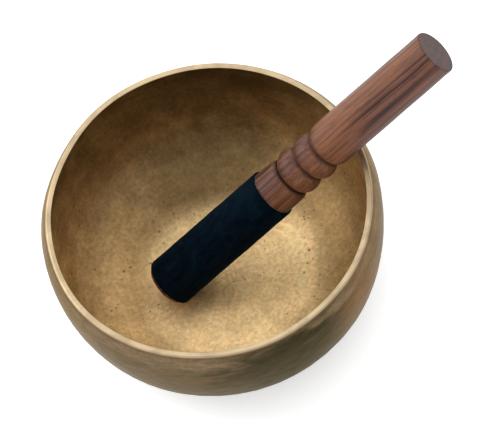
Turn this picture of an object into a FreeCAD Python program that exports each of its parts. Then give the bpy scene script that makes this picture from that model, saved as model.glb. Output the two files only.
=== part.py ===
import FreeCAD, Part
import os
import math
import Sketcher

# Hand-hammered bronze singing bowl with its suede-sleeved rosewood mallet resting in it.
#
# Frame: millimetres, +Z up. The origin is the centre of the bowl's flat base. The mallet lies
# in a plane parallel to XZ: its sleeved head stands on the bowl's floor on the -X side, and
# its handle leans over the rim towards +X. Mallet parts are drawn in the mallet's own frame,
# with its axis along x from the head end, and are placed together.

os.makedirs("parts", exist_ok=True)
doc = FreeCAD.newDocument("SingingBowl")

DIMENSIONS = {
    # Bowl
    "bowl_height": 80.0,
    "rim_radius": 88.0,
    "rim_width": 3.0,
    "rim_round": 0.6,
    "belly_radius": 92.3,
    "belly_height": 67.0,
    "base_radius": 28.0,
    "floor_thickness": 2.8,
    "wall_thickness": 2.4,
    "foot_curve": 122.0,
    "haunch_curve": 39.5,
    "wall_curve": 133.0,
    # Mallet stick, turned from one blank; each "end" is measured from the head end
    "stick_length": 210.0,
    "stick_radius": 13.0,
    "head_projection": 2.5,
    "head_round": 2.3,
    "tail_round": 1.0,
    "sleeve_end": 84.0,
    "collar_end": 98.4,
    "first_bead_end": 111.2,
    "second_bead_end": 123.4,
    "shoulder_end": 129.4,
    "bead_radius": 13.3,
    "valley_radius": 10.2,
    "collar_round": 3.4,
    # Suede sleeve and the adhesive under it
    "suede_thickness": 1.1,
    "glue_thickness": 0.15,
    # Where the mallet rests
    "floor_contact": 22.4,
    "side_offset": 2.7,
    "rest_gap": 0.2,
}

dims = doc.addObject("Spreadsheet::Sheet", "dims")
for row, (name, size) in enumerate(DIMENSIONS.items(), start=1):
    dims.set(f"A{row}", name)
    dims.set(f"B{row}", str(size))
    dims.setAlias(f"B{row}", name)
doc.recompute()


# --- The mallet's resting place, worked out from the dimensions ---------------------------

# The sleeve's lower edge stands on the floor at floor_contact, and the stick lies on the
# rounded inner edge of the rim, rest_gap clear of both. Curl is the inner wall's radius above
# the belly and Overhang its slope at the rim, from upright. RimX is where the rim's rounding
# has its centre. Run and Rise go from the one contact to that centre, and Lean is the angle of
# the mallet's axis above level.
rest = doc.addObject("App::VarSet", "rest")
REST_VALUES = (
    ("CurlDepth", "App::PropertyFloat",
     "dims.belly_radius - dims.wall_thickness - dims.rim_radius + dims.rim_width"),
    ("CurlHeight", "App::PropertyFloat",
     "dims.bowl_height - dims.belly_height"),
    ("Curl", "App::PropertyFloat",
     "(CurlDepth ^ 2 + CurlHeight ^ 2) / (2 * CurlDepth)"),
    ("Overhang", "App::PropertyAngle",
     "asin(CurlHeight / Curl)"),
    ("RimX", "App::PropertyFloat",
     "dims.rim_radius - dims.rim_width + dims.rim_round / tan((90 deg - Overhang) / 2)"),
    ("SleeveRadius", "App::PropertyFloat",
     "dims.stick_radius + dims.glue_thickness + dims.suede_thickness"),
    ("Run", "App::PropertyFloat",
     "RimX + dims.floor_contact"),
    ("Rise", "App::PropertyFloat",
     "dims.bowl_height - dims.rim_round - dims.floor_thickness - dims.rest_gap"),
    ("Stagger", "App::PropertyFloat",
     "SleeveRadius - dims.stick_radius - dims.rim_round - dims.rest_gap"),
    ("Lean", "App::PropertyAngle",
     "atan2(Rise; Run) - asin(Stagger / sqrt(Run ^ 2 + Rise ^ 2))"),
    ("HeadX", "App::PropertyFloat",
     "0 - dims.floor_contact - SleeveRadius * sin(Lean) - dims.head_projection * cos(Lean)"),
    ("HeadZ", "App::PropertyFloat",
     "dims.floor_thickness + dims.rest_gap + SleeveRadius * cos(Lean)"
     " - dims.head_projection * sin(Lean)"),
)
for name, kind, expression in REST_VALUES:
    rest.addProperty(kind, name)
    rest.setExpression(name, expression)
doc.recompute()


def value(expression):
    """The number that an expression over the sheet gives."""
    result = rest.evalExpression(expression)
    return float(getattr(result, "Value", result))


# --- Sketch helpers ----------------------------------------------------------------------

def new_body(label):
    body = doc.addObject("PartDesign::Body", label)
    body.Label = label
    return body


def upright_sketch(body, name):
    """A sketch on the body's own XZ plane, so that its x is X and its y is Z."""
    plane = next(item for item in body.Origin.OriginFeatures if item.Role == "XZ_Plane")
    sketch = body.newObject("Sketcher::SketchObject", name)
    sketch.AttachmentSupport = [(plane, "")]
    sketch.MapMode = "FlatFace"
    return sketch


def point(x, y):
    return FreeCAD.Vector(x, y, 0)


def constrain(sketch, expression, kind, *references):
    """Add one dimension to the sketch and bind it to the sheet."""
    index = sketch.addConstraint(Sketcher.Constraint(kind, *references, value(expression)))
    sketch.setExpression(f"Constraints[{index}]", expression)


def pin(sketch, edge, end, x, y):
    """Hold one end of an edge (1 is its start, 2 its end) at the place two expressions give."""
    constrain(sketch, x, "DistanceX", -1, 1, edge, end)
    constrain(sketch, y, "DistanceY", -1, 1, edge, end)


def outward_arc(start, end, radius):
    """Arc between two points, start at the lower x, that bulges away from the x axis."""
    chord = end - start
    depth = math.sqrt(max(radius**2 - (chord.Length / 2) ** 2, 0.0))
    inward = FreeCAD.Vector(chord.y, -chord.x, 0).normalize()
    centre = (start + end) * 0.5 + inward * depth
    circle = Part.Circle(centre, FreeCAD.Vector(0, 0, 1), radius)
    first = math.atan2(end.y - centre.y, end.x - centre.x)
    last = math.atan2(start.y - centre.y, start.x - centre.x)
    return Part.ArcOfCircle(circle, first, last)


def draw_turned_outline(sketch, corners):
    """Closed outline of a turned piece, over the x axis.

    Each corner is (x, y, radius) as expressions, where radius is that of the arc that leads to
    the corner from the one before it, or None for a straight line.
    """
    count = len(corners)
    places = [point(value(x), value(y)) for x, y, _ in corners]
    for step in range(count):
        x, y, _ = corners[step]
        following = (step + 1) % count
        bend = corners[following][2]
        if bend is None:
            edge = sketch.addGeometry(Part.LineSegment(places[step], places[following]), False)
            pin(sketch, edge, 1, x, y)
        else:
            arc = outward_arc(places[step], places[following], value(bend))
            edge = sketch.addGeometry(arc, False)
            pin(sketch, edge, 2, x, y)
            constrain(sketch, bend, "Radius", edge)
    for step in range(count):
        following = (step + 1) % count
        leaving_end = 2 if corners[following][2] is None else 1
        entering_end = 1 if corners[(following + 1) % count][2] is None else 2
        joint = Sketcher.Constraint("Coincident", step, leaving_end, following, entering_end)
        sketch.addConstraint(joint)


def turn(body, kind, name, sketch, axis):
    """Turn a sketch a full circle about one of its own axes, H_Axis or V_Axis."""
    feature = body.newObject(kind, name)
    feature.Profile = sketch
    feature.ReferenceAxis = (sketch, [axis])
    feature.Angle = 360
    doc.recompute()
    return feature


# --- Bowl --------------------------------------------------------------------------------

def tangent_arcs(start, radii, turns):
    """Arcs that follow each other smoothly, the first leaving start along +x, turning left."""
    arcs = []
    heading = -math.pi / 2
    place = start
    for radius, angle in zip(radii, turns):
        centre = place - point(math.cos(heading), math.sin(heading)) * radius
        circle = Part.Circle(centre, FreeCAD.Vector(0, 0, 1), radius)
        arcs.append(Part.ArcOfCircle(circle, heading, heading + angle))
        heading += angle
        place = centre + point(math.cos(heading), math.sin(heading)) * radius
    return arcs


def draw_bowl_outline(sketch, floor, belly, rim, thinner):
    """Half section of the bowl's outside or inside, closed along the z axis.

    It is flat to the base radius, then three arcs (foot, haunch and wall) lead to the belly,
    where it stands upright, and a fourth curls in to the rim. The expressions floor, belly and
    rim give the flat's height and the two radii; thinner is taken off every arc's radius.
    """
    curl_depth = value(belly) - value(rim)
    curl_height = value("dims.bowl_height - dims.belly_height")
    curl_radius = (curl_depth**2 + curl_height**2) / (2 * curl_depth)
    bends = [f"dims.{bend}_curve - {thinner}" for bend in ("foot", "haunch", "wall")]
    radii = [value(bend) for bend in bends] + [curl_radius]
    # How far each arc turns is a first guess here; the sketch's constraints settle it.
    turns = [math.radians(guess) for guess in (15, 60, 15)]
    turns.append(math.asin(curl_height / curl_radius))

    floor_centre = point(0, value(floor))
    flat_end = point(value("dims.base_radius"), value(floor))
    rim_point = point(value(rim), value("dims.bowl_height"))
    top_centre = point(0, value("dims.bowl_height"))
    flat = sketch.addGeometry(Part.LineSegment(floor_centre, flat_end), False)
    foot, haunch, wall, curl = sketch.addGeometry(tangent_arcs(flat_end, radii, turns), False)
    top = sketch.addGeometry(Part.LineSegment(rim_point, top_centre), False)
    axis = sketch.addGeometry(Part.LineSegment(top_centre, floor_centre), False)

    pin(sketch, flat, 1, "0", floor)
    pin(sketch, flat, 2, "dims.base_radius", floor)
    for earlier, later in ((flat, foot), (foot, haunch), (haunch, wall), (wall, curl)):
        sketch.addConstraint(Sketcher.Constraint("Tangent", earlier, 2, later, 1))
    for edge, bend in zip((foot, haunch, wall), bends):
        constrain(sketch, bend, "Radius", edge)
    pin(sketch, wall, 2, belly, "dims.belly_height")
    constrain(sketch, "dims.belly_height", "DistanceY", -1, 1, wall, 3)
    pin(sketch, top, 1, rim, "dims.bowl_height")
    pin(sketch, top, 2, "0", "dims.bowl_height")
    sketch.addConstraint(Sketcher.Constraint("Coincident", curl, 2, top, 1))
    sketch.addConstraint(Sketcher.Constraint("Coincident", top, 2, axis, 1))
    sketch.addConstraint(Sketcher.Constraint("Coincident", axis, 2, flat, 1))


def rim_edges(shape):
    """Names of the two circles that bound the flat top of the rim."""
    height = value("dims.bowl_height")
    names = []
    for number, edge in enumerate(shape.Edges, start=1):
        box = edge.BoundBox
        if box.ZMin > height - 0.001 and box.XMax > value("dims.rim_radius") / 2:
            names.append(f"Edge{number}")
    return names


def make_bowl():
    bowl = new_body("bowl")
    outside = upright_sketch(bowl, "bowl_outside")
    draw_bowl_outline(outside, "0", "dims.belly_radius", "dims.rim_radius", "0")
    turn(bowl, "PartDesign::Revolution", "bowl_blank", outside, "V_Axis")
    blank_volume = bowl.Shape.Volume

    inside = upright_sketch(bowl, "bowl_inside")
    inner_belly = "dims.belly_radius - dims.wall_thickness"
    inner_rim = "dims.rim_radius - dims.rim_width"
    draw_bowl_outline(inside, "dims.floor_thickness", inner_belly, inner_rim,
                      "dims.wall_thickness")
    hollow = turn(bowl, "PartDesign::Groove", "bowl_hollow", inside, "V_Axis")
    if bowl.Shape.Volume > blank_volume / 2:
        raise RuntimeError("The groove has not hollowed the bowl")

    rounding = bowl.newObject("PartDesign::Fillet", "rim_rounding")
    rounding.Base = (hollow, rim_edges(hollow.Shape))
    rounding.setExpression("Radius", "dims.rim_round")
    return bowl


# --- Mallet ------------------------------------------------------------------------------

def turned_piece(label, corners):
    """A body turned about the mallet's axis, placed where the mallet rests in the bowl."""
    body = new_body(label)
    outline = upright_sketch(body, f"{label}_outline")
    draw_turned_outline(outline, corners)
    turn(body, "PartDesign::Revolution", f"{label}_turning", outline, "H_Axis")
    body.Placement.Rotation.Axis = FreeCAD.Vector(0, -1, 0)
    body.setExpression("Placement.Rotation.Angle", "rest.Lean")
    body.setExpression("Placement.Base.x", "rest.HeadX * 1 mm")
    body.setExpression("Placement.Base.y", "dims.side_offset * 1 mm")
    body.setExpression("Placement.Base.z", "rest.HeadZ * 1 mm")
    return body


def sleeve_corners(inner, outer):
    """Outline of a plain sleeve from the head projection to the collar."""
    return [
        ("dims.head_projection", inner, None),
        ("dims.head_projection", outer, None),
        ("dims.sleeve_end", outer, None),
        ("dims.sleeve_end", inner, None),
    ]


def swell(half_width, rise):
    """Radius of an arc that rises by one expression over a level run given by the other."""
    return f"(({half_width}) ^ 2 + ({rise}) ^ 2) / (2 * ({rise}))"


def make_mallet_stick():
    stick = "dims.stick_radius"
    valley = "dims.valley_radius"
    bead_rise = f"dims.bead_radius - {valley}"
    collar = swell("dims.collar_round", f"{stick} - {valley}")
    first_bead = swell("(dims.first_bead_end - dims.collar_end) / 2", bead_rise)
    second_bead = swell("(dims.second_bead_end - dims.first_bead_end) / 2", bead_rise)
    shoulder = swell("dims.shoulder_end - dims.second_bead_end", f"{stick} - {valley}")
    return turned_piece("mallet_stick", [
        ("0", "0", None),
        ("0", f"{stick} - dims.head_round", None),
        ("dims.head_round", stick, "dims.head_round"),
        ("dims.collar_end - dims.collar_round", stick, None),
        ("dims.collar_end", valley, collar),
        ("dims.first_bead_end", valley, first_bead),
        ("dims.second_bead_end", valley, second_bead),
        ("dims.shoulder_end", stick, shoulder),
        ("dims.stick_length - dims.tail_round", stick, None),
        ("dims.stick_length", f"{stick} - dims.tail_round", "dims.tail_round"),
        ("dims.stick_length", "0", None),
    ])


def make_sleeves():
    glue_outside = "dims.stick_radius + dims.glue_thickness"
    glue = turned_piece("glue_film", sleeve_corners("dims.stick_radius", glue_outside))
    suede = turned_piece("suede_sleeve", sleeve_corners(glue_outside, "rest.SleeveRadius"))
    return [glue, suede]


# --- Check and export --------------------------------------------------------------------

def check(pieces):
    doc.recompute()
    for item in doc.Objects:
        if "Invalid" in item.State or "Error" in item.State:
            raise RuntimeError(f"{item.Label} did not compute")
    for piece in pieces:
        if piece.Shape.isNull() or not piece.Shape.isValid() or len(piece.Shape.Solids) != 1:
            raise RuntimeError(f"{piece.Label} is not one valid solid")
        box = piece.Shape.BoundBox
        print(f"{piece.Label}: {piece.Shape.Volume:.0f} mm3, x {box.XMin:.1f} to {box.XMax:.1f},"
              f" y {box.YMin:.1f} to {box.YMax:.1f}, z {box.ZMin:.2f} to {box.ZMax:.2f}")


pieces = [make_bowl(), make_mallet_stick()] + make_sleeves()
check(pieces)
print(f"The mallet leans at {value('rest.Lean'):.2f} degrees")
for piece in pieces:
    piece.Shape.exportStep(f"parts/{piece.Label}.step")
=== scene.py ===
import math

import bpy
import numpy as np
from mathutils import Matrix, Vector


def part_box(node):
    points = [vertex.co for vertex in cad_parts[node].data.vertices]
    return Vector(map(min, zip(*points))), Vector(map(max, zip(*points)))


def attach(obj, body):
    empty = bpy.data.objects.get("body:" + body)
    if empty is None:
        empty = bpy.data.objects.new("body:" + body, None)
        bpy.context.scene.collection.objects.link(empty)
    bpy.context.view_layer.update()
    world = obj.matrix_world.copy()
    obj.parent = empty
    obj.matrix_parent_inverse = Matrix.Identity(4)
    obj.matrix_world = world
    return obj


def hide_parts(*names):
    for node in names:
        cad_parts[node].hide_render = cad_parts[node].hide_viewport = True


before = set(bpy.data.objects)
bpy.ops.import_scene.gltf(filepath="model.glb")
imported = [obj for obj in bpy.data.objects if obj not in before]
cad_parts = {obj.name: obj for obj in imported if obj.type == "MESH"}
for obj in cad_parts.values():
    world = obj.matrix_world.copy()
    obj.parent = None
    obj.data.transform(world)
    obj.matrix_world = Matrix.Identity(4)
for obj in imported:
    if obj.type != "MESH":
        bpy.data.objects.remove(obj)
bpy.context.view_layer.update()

# A hand-hammered bronze singing bowl with its suede-sleeved rosewood mallet resting in it.
# Everything is in metres, in the row's frame: +Z up, origin at the centre of the bowl's base.

for leftover in ("Cube", "Light", "Camera"):
    if leftover in bpy.data.objects:
        bpy.data.objects.remove(bpy.data.objects[leftover])


# --- Sizes -------------------------------------------------------------------------------

BOWL_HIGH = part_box("bowl")[1]
BOWL_HEIGHT = BOWL_HIGH.z
BELLY_RADIUS = BOWL_HIGH.x
BELLY_HEIGHT = 0.067
RIM_RADIUS = 0.088
RIM_WIDTH = 0.003
RIM_ROUND = 0.0009
BASE_RADIUS = 0.028
FLOOR_THICKNESS = 0.0028
WALL_THICKNESS = 0.0024
FOOT_CURVE = 0.122
HAUNCH_CURVE = 0.0395
WALL_CURVE = 0.133

# Mallet; each "end" is measured along its axis from the head end of the stick
STICK_RADIUS = 0.0130
HEAD_ROUND = 0.0023
TAIL_ROUND = 0.0010
COLLAR_END = 0.0984
COLLAR_ROUND = 0.0034
FIRST_BEAD_END = 0.1112
SECOND_BEAD_END = 0.1234
SHOULDER_END = 0.1294
BEAD_RADIUS = 0.0133
VALLEY_RADIUS = 0.0102
SUEDE_THICKNESS = 0.0011
SLEEVE_LOW, SLEEVE_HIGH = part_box("suede_sleeve")
SLEEVE_RADIUS = (SLEEVE_HIGH.y - SLEEVE_LOW.y) / 2

# Points round each turned mesh, and the spacing of the rings on the bowl and the stick
BOWL_AROUND = 320
STICK_AROUND = 96
SLEEVE_AROUND = 160
BOWL_STEP = 0.0015
STICK_STEP = 0.0014
END_STEP = 0.0008
FLOOR_REACH = 30

# Hammer dents: how far apart the blows are, and how deep they go
OUTER_BLOWS, OUTER_DENT = 0.0105, 0.00016
INNER_BLOWS, INNER_DENT = 0.0095, 0.00009

random = np.random.default_rng(7)


# --- Mesh helpers ------------------------------------------------------------------------

def new_object(name, vertices, faces):
    mesh = bpy.data.meshes.new(name)
    mesh.from_pydata([tuple(v) for v in vertices], [], faces)
    mesh.validate()
    mesh.update()
    mesh.polygons.foreach_set("use_smooth", [True] * len(mesh.polygons))
    piece = bpy.data.objects.new(name, mesh)
    bpy.context.scene.collection.objects.link(piece)
    return piece


def add_attribute(piece, name, values):
    attribute = piece.data.attributes.new(name, "FLOAT", "POINT")
    attribute.data.foreach_set("value", np.asarray(values, np.float32))


def ring_faces(rings, around, closed=False):
    """Quads between rings of points that all have the same count."""
    faces = []
    last = rings if closed else rings - 1
    for ring in range(last):
        here = ring * around
        there = ((ring + 1) % rings) * around
        for step in range(around):
            following = (step + 1) % around
            faces.append((here + step, here + following, there + following, there + step))
    return faces


def smooth_waves(angle, harmonics):
    """Sum of sines round a circle, each given as (count, size, turn in degrees)."""
    total = np.zeros_like(angle)
    for count, size, turn in harmonics:
        total += size * np.cos(count * (angle - math.radians(turn)))
    return total


def nearest_two(points, centres):
    """Distances from each point to its nearest and second nearest centre."""
    first = np.empty(len(points))
    second = np.empty(len(points))
    for start in range(0, len(points), 4000):
        part = points[start:start + 4000]
        gaps = np.linalg.norm(part[:, None, :] - centres[None, :, :], axis=2)
        two = np.partition(gaps, 1, axis=1)[:, :2]
        first[start:start + 4000] = two[:, 0]
        second[start:start + 4000] = two[:, 1]
    return first, second


# --- Bowl --------------------------------------------------------------------------------

def arc_points(centre, radius, start, end, step):
    count = max(3, int(abs(end - start) * radius / step) + 1)
    angles = np.linspace(start, end, count)
    return [(centre[0] + radius * math.cos(a), centre[1] + radius * math.sin(a)) for a in angles]


def wall_line(floor, belly, rim, thinner, step):
    """Half section from the base's edge up to the rim, as (radius, height) points.

    Foot, haunch and wall arcs follow each other smoothly and reach the belly upright. Their
    meeting angles come from the triangle that their three centres make.
    """
    foot, haunch, wall = (r - thinner for r in (FOOT_CURVE, HAUNCH_CURVE, WALL_CURVE))
    near, far = foot - haunch, wall - haunch
    across = belly - wall - BASE_RADIUS
    up = BELLY_HEIGHT - floor - foot
    reach = math.hypot(across, up)
    turn = math.acos((near ** 2 + far ** 2 - reach ** 2) / (2 * near * far))
    lead = math.atan2(far * math.sin(turn), near - far * math.cos(turn))
    first = math.atan2(across, -up) + lead
    second = first + turn

    def stepped(angle, size):
        return np.array((math.sin(angle), -math.cos(angle))) * size

    foot_centre = np.array((BASE_RADIUS, floor + foot))
    haunch_centre = foot_centre + stepped(first, near)
    wall_centre = haunch_centre - stepped(second, far)
    down = -math.pi / 2
    line = arc_points(foot_centre, foot, down, down + first, step)
    line += arc_points(haunch_centre, haunch, down + first, down + second, step)[1:]
    line += arc_points(wall_centre, wall, down + second, 0, step)[1:]
    depth, height = belly - rim, BOWL_HEIGHT - BELLY_HEIGHT
    curl = (depth ** 2 + height ** 2) / (2 * depth)
    top = math.asin(height / curl)
    line += arc_points((belly - curl, BELLY_HEIGHT), curl, 0, top, step)[1:]
    return line


def rounded_corner(before, corner, after, count=6):
    """A smooth curve from before to after that is pulled towards the corner between them."""
    before, corner, after = (np.array(p) for p in (before, corner, after))
    points = []
    for t in np.linspace(0, 1, count):
        points.append(tuple((1 - t) ** 2 * before + 2 * t * (1 - t) * corner + t ** 2 * after))
    return points


def trim_top(line, length):
    """The line without its last stretch of that length."""
    kept = list(line)
    while len(kept) > 2:
        gap = math.dist(kept[-1], kept[-2])
        if gap > length:
            share = length / gap
            kept[-1] = tuple(np.array(kept[-1]) * (1 - share) + np.array(kept[-2]) * share)
            return kept
        length -= gap
        kept.pop()
    return kept


def bowl_section(step):
    """Points of the whole half section, outside base to inside floor, and how far each is inside.

    The third value of a point is 0 outside, 1 inside and runs across the rim in between.
    """
    inner_rim = RIM_RADIUS - RIM_WIDTH
    outside = wall_line(0, BELLY_RADIUS, RIM_RADIUS, 0, step)
    inside = wall_line(FLOOR_THICKNESS, BELLY_RADIUS - WALL_THICKNESS, inner_rim,
                       WALL_THICKNESS, step)
    outside, inside = trim_top(outside, RIM_ROUND), trim_top(inside, RIM_ROUND)
    outer_flat = (RIM_RADIUS - RIM_ROUND * 0.7, BOWL_HEIGHT)
    inner_flat = (inner_rim + RIM_ROUND * 0.7, BOWL_HEIGHT)
    outer_round = rounded_corner(outside[-1], (RIM_RADIUS, BOWL_HEIGHT), outer_flat)
    inner_round = rounded_corner(inner_flat, (inner_rim, BOWL_HEIGHT), inside[-1])
    flat = [(r, BOWL_HEIGHT) for r in np.linspace(outer_flat[0], inner_flat[0], 7)]
    rim = outer_round[1:] + flat[1:-1] + inner_round[:-1]
    base = [(r, 0.0) for r in np.arange(step, BASE_RADIUS, step)]
    floor = [(r, FLOOR_THICKNESS) for r, _ in base]
    line = [(*p, 0.0) for p in base + outside]
    line += [(*p, share) for p, share in zip(rim, np.linspace(0, 1, len(rim) + 2)[1:-1])]
    line += [(*p, 1.0) for p in inside[::-1] + floor[::-1]]
    return np.array(line)


def hammer_blows(section, spacing):
    """Places on a surface of revolution where the hammer has struck, in rough rows round it."""
    lengths = np.hypot(*np.diff(section[:, :2], axis=0).T)
    along = np.concatenate(([0], np.cumsum(lengths)))
    blows = []
    for row in np.arange(0, along[-1], spacing * 0.8):
        count = max(1, round(2 * math.pi * np.interp(row, along, section[:, 0]) / spacing))
        shift = random.uniform(0, 2 * math.pi)
        for blow in range(count):
            place = row + random.normal(0, spacing * 0.22)
            radius = np.interp(place, along, section[:, 0])
            height = np.interp(place, along, section[:, 1])
            angle = shift + 2 * math.pi * (blow + random.normal(0, 0.22)) / count
            blows.append((radius * math.cos(angle), radius * math.sin(angle), height))
    return np.array(blows)


def dents(points, blows, reach, depth):
    """How deep the overlapping hammer dents are at each point, at most depth."""
    first, second = nearest_two(points, blows)
    hollow = 1 - np.clip(first / reach, 0, 1) ** 2
    ridge = np.clip((second - first) / (reach * 0.35), 0, 1)
    return depth * hollow * (0.35 + 0.65 * ridge * ridge * (3 - 2 * ridge))


def make_bowl():
    around = BOWL_AROUND
    section = bowl_section(BOWL_STEP)
    radius, height, inside = section.T
    rings = len(section)
    angle = np.linspace(0, 2 * math.pi, around, endpoint=False)

    direction = np.gradient(section[:, :2], axis=0)
    direction /= np.linalg.norm(direction, axis=1)[:, None]
    normal = np.stack((direction[:, 1], -direction[:, 0]), axis=1)

    # The wall isn't quite round: it is slightly oval and pulled in and out by the hammer.
    # It keeps to the true circle where the mallet leans on the rim, at angle 0.
    oval = smooth_waves(angle, ((2, 0.00030, 58), (3, 0.00030, -12), (5, 0.00016, 20),
                                (7, 0.00012, 5), (9, 0.00009, 31)))
    oval += 0.0016 * np.exp((np.cos(angle - math.radians(196)) - 1) / 0.10)
    oval += 0.0008 * np.exp((np.cos(angle - math.radians(280)) - 1) / 0.10)
    oval -= oval[0]
    raised = np.clip(height / BELLY_HEIGHT, 0, 1) ** 1.5
    sway = np.outer(raised, oval)
    wave = smooth_waves(angle, ((2, 0.00014, 10), (3, 0.00012, 80), (5, 0.00010, 47),
                                (8, 0.00005, 15)))
    wave -= wave.max()
    lift = np.outer(np.clip(height / BOWL_HEIGHT, 0, 1) ** 6, wave)

    flat_radius = radius[:, None] + sway
    points = np.stack((flat_radius * np.cos(angle), flat_radius * np.sin(angle),
                       height[:, None] + lift), axis=2)
    normals = np.stack((normal[:, :1] * np.cos(angle), normal[:, :1] * np.sin(angle),
                        np.repeat(normal[:, 1:], around, axis=1)), axis=2)

    # Hammer dents go into the metal from both sides, and fade out towards the worked rim.
    on_rim = (inside > 0) & (inside < 1)
    outer, inner = inside == 0, inside == 1
    fade = np.clip((BOWL_HEIGHT - height) / 0.012, 0.15, 1)
    depth = np.zeros((rings, around))
    for side, spacing, deep in ((outer, OUTER_BLOWS, OUTER_DENT),
                                (inner, INNER_BLOWS, INNER_DENT)):
        blows = hammer_blows(section[side], spacing)
        size = dents(points[side].reshape(-1, 3), blows, spacing * 0.75, deep)
        depth[side] = size.reshape(-1, around) * fade[side][:, None]
    resting = np.clip(height / 0.002, 0, 1)
    depth[outer] *= np.where(radius[outer] < BASE_RADIUS + 0.02, resting[outer], 1)[:, None]
    points -= normals * depth[:, :, None]

    # The two middles are closed with one point each.
    vertices = points.reshape(-1, 3)
    base_centre, floor_centre = len(vertices), len(vertices) + 1
    vertices = np.vstack((vertices, (0, 0, 0), (0, 0, FLOOR_THICKNESS)))
    faces = ring_faces(rings, around)
    final = (rings - 1) * around
    for step in range(around):
        following = (step + 1) % around
        faces.append((base_centre, following, step))
        faces.append((floor_centre, final + step, final + following))
    piece = new_object("hammered_bowl", vertices, faces)

    rim_share = np.where(on_rim, 1.0, np.clip(1 - (BOWL_HEIGHT - height) / 0.0016, 0, 1) ** 2)
    add_attribute(piece, "inside", np.append(np.repeat(inside, around), (0, 1)))
    add_attribute(piece, "rim", np.append(np.repeat(rim_share, around), (0, 0)))
    return piece


# --- Mallet ------------------------------------------------------------------------------

def node_points(node):
    """The different vertices of a CAD node."""
    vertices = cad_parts[node].data.vertices
    return np.unique([[round(c, 6) for c in v.co] for v in vertices], axis=0)


def mallet_frame():
    """Matrix that puts a mallet piece where the CAD stick is, and the stick's and sleeve's spans.

    The mallet's own x axis is its length, from the head end. It is found from the middles of
    the CAD sleeve's two end circles.
    """
    sleeve, stick = node_points("suede_sleeve"), node_points("mallet_stick")
    left = sleeve[:, 0] < sleeve[:, 0].mean()
    head, tail = Vector(sleeve[left].mean(axis=0)), Vector(sleeve[~left].mean(axis=0))
    axis = (tail - head).normalized()
    across = Vector((0, 1, 0))
    turn = Matrix((axis, across, axis.cross(across))).transposed().to_4x4()
    reach = (stick - np.array(head)) @ np.array(axis)
    start = head + axis * reach.min()
    sleeve_start = (head - start).length
    spans = np.ptp(reach), sleeve_start, sleeve_start + (tail - head).length
    return Matrix.Translation(start) @ turn, *spans


MALLET, STICK_LENGTH, SLEEVE_START, SLEEVE_END = mallet_frame()


def line_points(start, end, step):
    count = max(2, int(math.dist(start, end) / step) + 1)
    return [tuple(p) for p in np.linspace(start, end, count)]


def bulge(start, end, rise, half=False, count=18):
    """An arc over a level run that rises by rise at its middle, or at its end if half is true."""
    run = (end[0] - start[0]) / (1 if half else 2)
    radius = (run ** 2 + rise ** 2) / (2 * rise)
    middle = start[0] + run
    centre = start[1] + rise - radius
    widest = math.asin(run / radius)
    turns = np.linspace(-widest, 0 if half else widest, count)
    return [(middle + radius * math.sin(t), centre + radius * math.cos(t)) for t in turns]


def stick_outline():
    """Points (x, radius) of the turned stick, from its head end's middle to its tail end's."""
    step, middle = STICK_STEP, 0.0006
    radius, valley = STICK_RADIUS, VALLEY_RADIUS
    line = line_points((0, middle), (0, radius - HEAD_ROUND), END_STEP)
    line += rounded_corner(line[-1], (0, radius), (HEAD_ROUND, radius), 9)[1:]
    collar = (COLLAR_END - COLLAR_ROUND, radius)
    line += line_points((HEAD_ROUND, radius), collar, step)[1:]
    line += bulge((COLLAR_END, valley), collar, radius - valley, True)[-2::-1]
    rise = BEAD_RADIUS - valley
    line += bulge((COLLAR_END, valley), (FIRST_BEAD_END, valley), rise)[1:]
    line += bulge((FIRST_BEAD_END, valley), (SECOND_BEAD_END, valley), rise)[1:]
    line += bulge((SECOND_BEAD_END, valley), (SHOULDER_END, radius), radius - valley, True)[1:]
    tail = (STICK_LENGTH - TAIL_ROUND, radius)
    line += line_points((SHOULDER_END, radius), tail, step)[1:]
    line += rounded_corner(tail, (STICK_LENGTH, radius), (STICK_LENGTH, radius - TAIL_ROUND))[1:]
    line += line_points((STICK_LENGTH, radius - TAIL_ROUND), (STICK_LENGTH, middle), END_STEP)[1:]
    return np.array(line)


def turned(outline, around, swell):
    """Rings of points round the x axis; swell(x, angle) is added to each radius."""
    angle = np.linspace(0, 2 * math.pi, around, endpoint=False)
    x = np.repeat(outline[:, :1], around, axis=1)
    radius = outline[:, 1:] + swell(x, angle[None, :])
    return np.stack((x, radius * np.cos(angle), radius * np.sin(angle)), axis=2).reshape(-1, 3)


def make_stick():
    around = STICK_AROUND

    def lathe_marks(x, angle):
        """Shallow unevenness that a turned and hand-sanded stick keeps, fading at the axis."""
        slow = 0.00006 * np.sin(x * 210 + 1.2 * np.sin(angle)) * np.cos(2 * angle + x * 25)
        return slow + 0.00002 * np.sin(x * 2600)

    outline = stick_outline()
    points = turned(outline, around, lathe_marks)
    rings = len(outline)
    faces = ring_faces(rings, around)
    head, tail = len(points), len(points) + 1
    final = (rings - 1) * around
    for step in range(around):
        following = (step + 1) % around
        faces.append((head, following, step))
        faces.append((tail, final + step, final + following))
    points = np.vstack((points, (0, 0, 0), (STICK_LENGTH, 0, 0)))
    piece = new_object("rosewood_stick", points, faces)
    piece.matrix_world = MALLET
    # dirt settled in the grooves between the beads, and painted shade there
    groove_dirt_and_shade = sum(np.exp(-((points[:, 0] - place) / 0.0010) ** 2)
                 for place in (COLLAR_END, FIRST_BEAD_END, SECOND_BEAD_END))
    add_attribute(piece, "groove_dirt_and_shade", np.clip(groove_dirt_and_shade, 0, 1))
    off_ends = np.minimum(points[:, 0], STICK_LENGTH - points[:, 0])
    add_attribute(piece, "end_grain", np.clip(1 - off_ends / 0.0004, 0, 1))
    return piece


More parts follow.
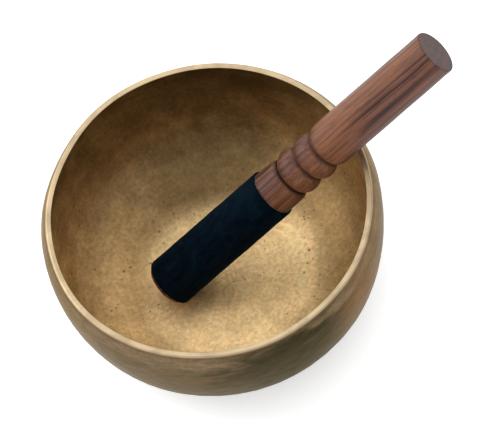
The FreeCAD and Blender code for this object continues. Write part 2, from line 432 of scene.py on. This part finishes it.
def make_sleeve():
    """One suede rectangle wrapped round the stick, its two long edges butted on the far side."""
    around = SLEEVE_AROUND
    outer = SLEEVE_RADIUS
    inner = outer - SUEDE_THICKNESS
    start, end, edge = SLEEVE_START, SLEEVE_END, 0.0004
    outline = rounded_corner((start, outer - edge), (start, outer), (start + edge, outer), 5)
    outline += line_points((start + edge, outer), (end - edge, outer), 0.0012)[1:]
    outline += rounded_corner((end - edge, outer), (end, outer), (end, outer - edge), 5)[1:]
    outline += [(end, inner + 0.0001), (end - 0.0001, inner)]
    outline += line_points((end - 0.0001, inner), (start + 0.0001, inner), 0.006)[1:]
    outline += [(start, inner + 0.0001)]
    outline = np.array(outline)
    on_outside = outline[:, 1] > inner + 0.0003
    seam_angle = math.radians(215)

    def hide_form(x, angle):
        away = np.abs((angle - seam_angle + math.pi) % (2 * math.pi) - math.pi) * outer
        seam = -0.00032 * np.exp(-(away / 0.00035) ** 2)
        pull = -0.00010 * np.exp(-(away / 0.0022) ** 2)
        lumps = 0.00006 * np.sin(x * 190 + 2.5 * np.cos(angle)) * np.sin(3 * angle + x * 60)
        lumps += 0.00004 * np.sin(x * 420 - 4 * angle + 1.5 * np.sin(2 * angle))
        return (seam + pull + lumps) * on_outside[:, None]

    points = turned(outline, around, hide_form)
    angle = np.tile(np.linspace(0, 2 * math.pi, around, endpoint=False), len(outline))
    cut = 0.00012 * np.sin(3 * angle + 0.6) + 0.00007 * np.sin(8 * angle)
    nearer_head = points[:, 0] < (start + end) / 2
    weight = np.exp(-np.minimum(points[:, 0] - start, end - points[:, 0]) / 0.0015)
    points[:, 0] += np.where(nearer_head, np.abs(cut), -np.abs(cut)) * weight
    piece = new_object("wrapped_suede", points, ring_faces(len(outline), around, closed=True))
    piece.matrix_world = MALLET
    return piece


# --- Material helpers --------------------------------------------------------------------

def ramp(tree, given, low, high, to_low, to_high):
    """given from low to high, spread smoothly over to_low to to_high and held past them."""
    made = tree.nodes.new("ShaderNodeMapRange")
    made.interpolation_type = "SMOOTHSTEP"
    tree.links.new(given, made.inputs["Value"])
    for name, number in (("From Min", low), ("From Max", high), ("To Min", to_low),
                         ("To Max", to_high)):
        made.inputs[name].default_value = number
    return made.outputs["Result"]


class Shader:
    """A new node material, with short ways to add and join its nodes."""

    def __init__(self, name):
        self.material = bpy.data.materials.new(name)
        self.material.use_nodes = True
        self.tree = self.material.node_tree
        self.surface = self.tree.nodes["Principled BSDF"]

    def node(self, kind, settings=None, **inputs):
        made = self.tree.nodes.new(kind)
        for name, setting in (settings or {}).items():
            setattr(made, name, setting)
        for name, given in inputs.items():
            self.feed(made.inputs[name.replace("_", " ")], given)
        return made

    def feed(self, socket, given):
        if isinstance(given, bpy.types.NodeSocket):
            self.tree.links.new(given, socket)
        else:
            socket.default_value = given

    def place(self, scale=(1, 1, 1)):
        """The piece's own coordinates, scaled; a scale under 1 draws a pattern out that way."""
        source = self.node("ShaderNodeTexCoord").outputs["Object"]
        return self.node("ShaderNodeMapping", Vector=source, Scale=scale).outputs["Vector"]

    def noise(self, where, scale, detail=3.0, rough=0.5, warp=0.0):
        made = self.node("ShaderNodeTexNoise", Vector=where, Scale=scale, Detail=detail,
                         Roughness=rough, Distortion=warp)
        return made.outputs["Fac"]

    def dots(self, where, scale, share, size):
        """1 at scattered dots of uneven size; share of the cells have one, at most size wide."""
        made = self.node("ShaderNodeTexVoronoi", Vector=where, Scale=scale)
        chance = self.node("ShaderNodeSeparateColor", Color=made.outputs["Color"]).outputs[0]
        reach = self.span(chance, 1 - share, 1.0, 0.0, size)
        edge = self.math("SUBTRACT", made.outputs["Distance"], reach)
        return self.span(edge, -0.10, 0.0, 1.0, 0.0)

    def span(self, given, low, high, to_low=0.0, to_high=1.0):
        return ramp(self.tree, given, low, high, to_low, to_high)

    def math(self, operation, first, second=0.0):
        made = self.tree.nodes.new("ShaderNodeMath")
        made.operation = operation
        self.feed(made.inputs[0], first)
        self.feed(made.inputs[1], second)
        return made.outputs[0]

    def length(self, vector):
        made = self.node("ShaderNodeVectorMath", {"operation": "LENGTH"}, Vector=vector)
        return made.outputs["Value"]

    def blend(self, share, first, second, mode="MIX"):
        """Mixes two colours; share is how much of the second shows."""
        made = self.tree.nodes.new("ShaderNodeMix")
        made.data_type = "RGBA"
        made.blend_type = mode
        made.clamp_result = True
        self.feed(made.inputs[0], share)
        self.feed(made.inputs[6], first)
        self.feed(made.inputs[7], second)
        return made.outputs[2]

    def blend_values(self, share, first, second):
        """A number between two others; share is how near it is to the second."""
        made = self.tree.nodes.new("ShaderNodeMix")
        self.feed(made.inputs[0], share)
        self.feed(made.inputs[2], first)
        self.feed(made.inputs[3], second)
        return made.outputs[0]

    def shade(self, colour, factor):
        """The colour with its brightness multiplied by a number."""
        grey = self.node("ShaderNodeCombineColor", Red=factor, Green=factor, Blue=factor)
        return self.blend(1.0, colour, grey.outputs[0], "MULTIPLY")

    def streaks(self, given, scale, detail=3.0, rough=0.5):
        """Uneven bands along a number."""
        made = self.node("ShaderNodeTexNoise", {"noise_dimensions": "1D"}, W=given, Scale=scale,
                         Detail=detail, Roughness=rough)
        return made.outputs["Fac"]

    def patch(self, where, middle, size, unevenness):
        """1 at a place on the piece, fading unevenly to 0 about size away from it."""
        far = self.node("ShaderNodeVectorMath", {"operation": "DISTANCE"})
        self.feed(far.inputs[0], where)
        self.feed(far.inputs[1], middle)
        shift = self.math("MULTIPLY", self.math("SUBTRACT", unevenness, 0.5), size * 1.6)
        uneven = self.math("ADD", far.outputs["Value"], shift)
        return self.span(uneven, size * 0.25, size, 1.0, 0.0)

    def bump(self, height, distance, strength=1.0, below=None):
        made = self.node("ShaderNodeBump", Height=height, Distance=distance, Strength=strength)
        if below is not None:
            self.feed(made.inputs["Normal"], below)
        return made.outputs["Normal"]

    def finish(self, **inputs):
        for name, given in inputs.items():
            self.feed(self.surface.inputs[name.replace("_", " ")], given)
        return self.material


def paint(piece, material):
    piece.data.materials.clear()
    piece.data.materials.append(material)


def rgb(red, green, blue):
    return (red, green, blue, 1.0)


# --- Materials ---------------------------------------------------------------------------

def bronze_inside(make, where, clouds, mottle):
    """Worn gold floor and browner patina up the walls; painted light makes the near side and left
    wall lighter, the far side and right darker.
    """
    x, y, z = make.node("ShaderNodeSeparateXYZ", Vector=where).outputs
    flat = make.node("ShaderNodeCombineXYZ", X=x, Y=y, Z=0.0).outputs[0]
    radius = make.length(flat)
    along = make.math("ADD", make.math("ADD", radius, z), make.math("MULTIPLY", clouds, 0.012))
    bands = make.streaks(along, 130.0, 2.0, 0.45)
    blotches = make.noise(where, 42.0, 3.0, 0.5, 0.3)
    speckle = make.noise(where, 460.0, 3.0, 0.65)

    drift = make.math("MULTIPLY", make.math("SUBTRACT", clouds, 0.5), 0.024)
    # painted light: the zones are shifted by side, the gold reaching further on the near side and
    # right, the brown starting lower on the far side
    aside = make.math("ADD", make.math("MULTIPLY", y, 0.12), make.math("MULTIPLY", x, -0.05))
    outward = make.math("ADD", make.math("ADD", radius, drift), aside)
    level = make.math("ADD", make.math("ADD", z, drift), make.math("MULTIPLY", y, 0.30))
    share = make.span(mottle, 0.36, 0.66)
    gold = make.blend(share, rgb(0.80, 0.585, 0.300), rgb(0.90, 0.670, 0.360))
    tan = make.blend(share, rgb(0.40, 0.260, 0.114), rgb(0.50, 0.334, 0.152))
    brown = make.blend(share, rgb(0.185, 0.115, 0.042), rgb(0.270, 0.174, 0.068))
    # painted light: the gold floor is lighter on the near side and darker towards the far side
    gold = make.shade(gold, make.span(y, -0.005, 0.048, 1.10, 0.82))
    # painted shade: the brown upper walls are darker towards the right and a little lighter on
    # the left
    brown = make.shade(brown, make.span(x, -0.050, 0.030, 1.10, 0.66))
    # painted shade on the far haunch: the tan is darkened there
    far_haunch_shade = make.patch(where, (0.018, 0.064, 0.010), 0.062, clouds)
    tan = make.shade(tan, make.span(far_haunch_shade, 0.0, 1.0, 1.0, 0.56))
    # painted light: the tan walls are lighter towards the left, slightly darker elsewhere
    tan = make.shade(tan, make.span(x, -0.080, -0.035, 1.45, 0.95))
    colour = make.blend(make.span(outward, 0.039, 0.057), gold, tan)
    colour = make.blend(make.span(level, 0.038, 0.088), colour, brown)
    colour = make.shade(colour, make.span(bands, 0.30, 0.70, 0.95, 1.04))
    colour = make.shade(colour, make.span(blotches, 0.30, 0.68, 0.93, 1.05))
    return make.shade(colour, make.span(speckle, 0.32, 0.68, 0.87, 1.10))


def bronze_outside(make, where, mottle):
    """Brown-grey patina drawn out round the bowl, a warm patch, an olive one partly painted
    shade, and a painted reflection near the top.
    """
    z = make.node("ShaderNodeSeparateXYZ", Vector=where).outputs["Z"]
    drawn_out = make.place((1, 1, 4.5))
    bands = make.noise(drawn_out, 34.0, 4.0, 0.6, 0.6)
    wisps = make.noise(drawn_out, 120.0, 3.0, 0.6, 0.3)
    share = make.span(mottle, 0.36, 0.66)
    plain = make.blend(share, rgb(0.060, 0.042, 0.024), rgb(0.094, 0.067, 0.040))
    warm = make.blend(make.span(bands, 0.48, 0.64, 0.0, 0.7), plain, rgb(0.128, 0.072, 0.033))
    grey = make.blend(make.span(z, 0.020, 0.056, 0.6, 0.0), warm, rgb(0.078, 0.074, 0.060))
    # painted reflection: a paler band round the upper outside wall
    painted_top_reflection = make.blend(make.span(z, 0.062, 0.077, 0.0, 0.6), grey, rgb(0.200, 0.143, 0.082))
    # olive patina on the front, made darker there as painted shade
    olive = make.patch(where, (0.008, -0.088, 0.056), 0.058, bands)
    orange = make.patch(where, (0.060, -0.070, 0.052), 0.034, bands)
    colour = make.blend(make.math("MULTIPLY", olive, 0.92), painted_top_reflection, rgb(0.020, 0.018, 0.007))
    colour = make.blend(make.math("MULTIPLY", orange, 0.8), colour, rgb(0.160, 0.078, 0.030))
    colour = make.shade(colour, make.span(wisps, 0.32, 0.66, 0.84, 1.12))
    return make.blend(make.span(z, 0.0765, 0.0790, 0.0, 0.7), colour, rgb(0.100, 0.050, 0.022))


def bronze_material():
    """Old hand-hammered bronze: worn gold inside, brown patina outside, a paler worked rim."""
    make = Shader("aged_bronze")
    where = make.place()
    inside = make.node("ShaderNodeAttribute", {"attribute_name": "inside"}).outputs["Fac"]
    rim = make.node("ShaderNodeAttribute", {"attribute_name": "rim"}).outputs["Fac"]
    clouds = make.noise(where, 17.0, 3.0, 0.5, 0.5)
    mottle = make.noise(where, 75.0, 4.0, 0.55, 0.4)
    grain = make.noise(where, 520.0, 4.0, 0.7)
    specks = make.noise(where, 60.0, 2.0, 0.6)
    pits = make.math("MAXIMUM", make.dots(where, 260.0, 0.35, 0.26),
                     make.dots(where, 640.0, 0.22, 0.42))

    within = bronze_inside(make, where, clouds, mottle)
    without = bronze_outside(make, where, mottle)
    walls = make.blend(inside, without, within)
    walls = make.shade(walls, make.span(grain, 0.34, 0.66, 0.89, 1.08))
    pit_mask = make.math("MULTIPLY", pits, make.span(specks, 0.44, 0.62))
    pit_mask = make.math("MULTIPLY", pit_mask, inside)
    walls = make.blend(make.math("MULTIPLY", pit_mask, 0.6), walls, rgb(0.07, 0.040, 0.016))
    edge = make.blend(make.span(mottle, 0.35, 0.65), rgb(0.33, 0.250, 0.152),
                      rgb(0.45, 0.350, 0.218))
    colour = make.blend(rim, walls, edge)

    rough = make.blend_values(inside, 0.40, 0.60)
    uneven = make.math("MULTIPLY", make.math("SUBTRACT", mottle, 0.5), 0.12)
    rough = make.math("ADD", rough, uneven)
    rough = make.math("SUBTRACT", rough, make.math("MULTIPLY", rim, 0.02))
    metal = make.span(clouds, 0.28, 0.60, 0.88, 1.0)
    normal = make.bump(grain, 0.00004, 0.4)
    normal = make.bump(pit_mask, -0.00010, 0.6, normal)
    return make.finish(Base_Color=colour, Metallic=metal, Roughness=rough, Normal=normal,
                       Specular_Tint=rgb(0.82, 0.74, 0.62))


def rosewood_material():
    """Satin turned rosewood: purplish brown growth bands along the stick, streaks and pores."""
    make = Shader("rosewood")
    stretched = make.place((0.10, 1, 1))
    wander = make.noise(stretched, 55.0, 2.0, 0.5)
    own = make.node("ShaderNodeSeparateXYZ", Vector=make.place()).outputs
    pith = make.node("ShaderNodeCombineXYZ", X=0.0, Y=make.math("SUBTRACT", own["Y"], 0.021),
                     Z=make.math("SUBTRACT", own["Z"], 0.026)).outputs[0]
    ring = make.length(pith)
    ring = make.math("ADD", ring, make.math("MULTIPLY", wander, 0.010))
    bands = make.streaks(ring, 330.0, 4.0, 0.62)
    veins = make.noise(make.place((0.035, 1, 1)), 620.0, 3.0, 0.6, 0.2)
    pores = make.noise(make.place((0.05, 1, 1)), 2300.0, 2.0, 0.5)
    tone = make.noise(make.place((0.3, 1, 1)), 38.0, 2.0, 0.5)

    groove_dirt_and_shade = make.node("ShaderNodeAttribute", {"attribute_name": "groove_dirt_and_shade"}).outputs["Fac"]
    end = make.node("ShaderNodeAttribute", {"attribute_name": "end_grain"}).outputs["Fac"]
    base = make.blend(make.span(bands, 0.34, 0.64), rgb(0.046, 0.018, 0.013),
                      rgb(0.132, 0.056, 0.039))
    base = make.blend(make.span(tone, 0.50, 0.68, 0.0, 0.6), base, rgb(0.220, 0.086, 0.037))
    base = make.shade(base, make.span(veins, 0.34, 0.62, 0.66, 1.16))
    pore_mask = make.span(pores, 0.58, 0.68)
    base = make.blend(make.math("MULTIPLY", pore_mask, 0.6), base, rgb(0.022, 0.008, 0.005))
    # darker in the grooves: partly dirt, partly painted shade
    base = make.shade(base, make.math("SUBTRACT", 1.0, make.math("MULTIPLY", groove_dirt_and_shade, 0.75)))
    base = make.shade(base, make.math("SUBTRACT", 1.0, make.math("MULTIPLY", end, 0.45)))
    rough = make.span(bands, 0.35, 0.65, 0.40, 0.50)
    normal = make.bump(pore_mask, -0.00005, 0.5)
    normal = make.bump(veins, 0.00004, 0.3, normal)
    return make.finish(Base_Color=base, Roughness=rough, Normal=normal, IOR=1.45,
                       Specular_IOR_Level=0.22)


def suede_material():
    """Near-black navy suede with brushed patches in its nap."""
    make = Shader("navy_suede")
    where = make.place()
    nap = make.noise(make.place((0.55, 1, 1)), 120.0, 4.0, 0.6, 1.2)
    fibres = make.noise(make.place((0.5, 1, 1)), 2600.0, 3.0, 0.7)
    tufts = make.noise(where, 700.0, 3.0, 0.65)
    colour = make.blend(make.span(nap, 0.36, 0.66), rgb(0.0005, 0.0022, 0.0052),
                        rgb(0.0016, 0.0062, 0.0115))
    colour = make.blend(make.span(tufts, 0.50, 0.76, 0.0, 0.35), colour, rgb(0.005, 0.014, 0.021))
    normal = make.bump(tufts, 0.00016, 0.6)
    normal = make.bump(fibres, 0.00007, 0.6, normal)
    rough = make.span(nap, 0.3, 0.7, 0.82, 0.98)
    return make.finish(Base_Color=colour, Roughness=rough, Normal=normal, Sheen_Weight=0.02,
                       Sheen_Roughness=0.45, Sheen_Tint=rgb(0.35, 0.60, 0.80),
                       Specular_IOR_Level=0.02)


def glue_material():
    """Dried contact adhesive, which shows only as a thin line at the suede's ends."""
    make = Shader("dried_glue")
    where = make.place()
    beads = make.noise(where, 900.0, 4.0, 0.6)
    colour = make.blend(beads, rgb(0.14, 0.09, 0.04), rgb(0.30, 0.20, 0.10))
    return make.finish(Base_Color=colour, Roughness=0.42, Normal=make.bump(beads, 0.00004, 0.5))


def floor_material():
    make = Shader("pale_floor")
    tone = make.noise(make.place(), 3.0, 3.0)
    colour = make.blend(tone, rgb(0.88, 0.88, 0.88), rgb(0.92, 0.92, 0.92))
    return make.finish(Base_Color=colour, Roughness=0.9, Specular_IOR_Level=0.1,
                       Emission_Color=rgb(1.0, 1.0, 1.0), Emission_Strength=0.38)


# --- Studio ------------------------------------------------------------------------------

CAMERA_AZIMUTH = math.radians(-10.2)
CAMERA_ELEVATION = math.radians(61.5)
CAMERA_ROLL = math.radians(14.5)
CAMERA_DISTANCE = 3.5
VIEW_WIDTH = 0.2665
AIM_RIGHT, AIM_UP = 0.0221, -0.0058
DOME_DIM, DOME_BRIGHT = 1.05, 1.55
DOME_BRIGHT_SIDE = (-0.35, 0.93, 0.3)
OVERHEAD_SHARE = 0.80


def make_camera():
    """A long lens that looks down into the bowl, turned so that the bowl tips to the left."""
    azimuth, elevation, roll = CAMERA_AZIMUTH, CAMERA_ELEVATION, CAMERA_ROLL
    level = Vector((math.cos(azimuth), math.sin(azimuth), 0))
    back = Vector((math.sin(azimuth) * math.cos(elevation),
                   -math.cos(azimuth) * math.cos(elevation), math.sin(elevation)))
    upward = back.cross(level)
    right = level * math.cos(roll) - upward * math.sin(roll)
    up = level * math.sin(roll) + upward * math.cos(roll)
    aim = Vector((0, 0, BOWL_HEIGHT)) + right * AIM_RIGHT + up * AIM_UP
    data = bpy.data.cameras.new("camera")
    data.sensor_width = 36
    data.lens = data.sensor_width * CAMERA_DISTANCE / VIEW_WIDTH
    data.clip_end = 100
    camera = bpy.data.objects.new("camera", data)
    turn = Matrix((right, up, back)).transposed().to_4x4()
    camera.matrix_world = Matrix.Translation(aim + back * CAMERA_DISTANCE) @ turn
    bpy.context.scene.collection.objects.link(camera)
    bpy.context.scene.camera = camera


def soft_light(name, place, aim, size, power):
    data = bpy.data.lights.new(name, "AREA")
    data.shape = "DISK"
    data.size = size
    data.energy = power
    light = bpy.data.objects.new(name, data)
    light.location = place
    light.rotation_euler = (Vector(aim) - Vector(place)).to_track_quat("-Z", "Y").to_euler()
    bpy.context.scene.collection.objects.link(light)


def studio_world():
    """A pale dome, brightest behind the object and dimmer over the viewer's side and overhead."""
    world = bpy.data.worlds.new("studio")
    world.use_nodes = True
    tree = world.node_tree
    direction = tree.nodes.new("ShaderNodeTexCoord").outputs["Generated"]
    lean = tree.nodes.new("ShaderNodeVectorMath")
    lean.operation = "DOT_PRODUCT"
    tree.links.new(direction, lean.inputs[0])
    lean.inputs[1].default_value = DOME_BRIGHT_SIDE
    height = tree.nodes.new("ShaderNodeSeparateXYZ")
    tree.links.new(direction, height.inputs[0])
    both = tree.nodes.new("ShaderNodeMath")
    both.operation = "MULTIPLY"
    tree.links.new(ramp(tree, lean.outputs["Value"], -0.4, 0.8, DOME_DIM, DOME_BRIGHT),
                   both.inputs[0])
    tree.links.new(ramp(tree, height.outputs["Z"], 0.50, 0.95, 1.0, OVERHEAD_SHARE),
                   both.inputs[1])
    dome = tree.nodes["Background"]
    dome.inputs["Color"].default_value = rgb(1.0, 1.0, 1.0)
    tree.links.new(both.outputs[0], dome.inputs["Strength"])
    return world


def make_studio():
    far = FLOOR_REACH
    corners = [(-far, -far, 0), (far, -far, 0), (far, far, 0), (-far, far, 0)]
    floor = new_object("floor", corners, [(0, 1, 2, 3)])
    paint(floor, floor_material())
    bpy.context.scene.world = studio_world()
    middle = (0, 0, BOWL_HEIGHT / 2)
    soft_light("key_light", (0.35, 0.75, 2.00), middle, 2.2, 8)
    soft_light("back_left_light", (-1.10, 0.95, 1.15), middle, 1.5, 13)
    soft_light("back_right_light", (0.55, 1.55, 0.80), middle, 1.4, 2)
    bpy.context.scene.view_settings.view_transform = "Standard"


# --- Assembly ----------------------------------------------------------------------------

make_camera()
make_studio()

bowl = make_bowl()
paint(bowl, bronze_material())
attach(bowl, "bowl")
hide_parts("bowl")

stick = make_stick()
paint(stick, rosewood_material())
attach(stick, "mallet")
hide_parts("mallet_stick")

sleeve = make_sleeve()
paint(sleeve, suede_material())
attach(sleeve, "mallet")
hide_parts("suede_sleeve")

paint(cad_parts["glue_film"], glue_material())
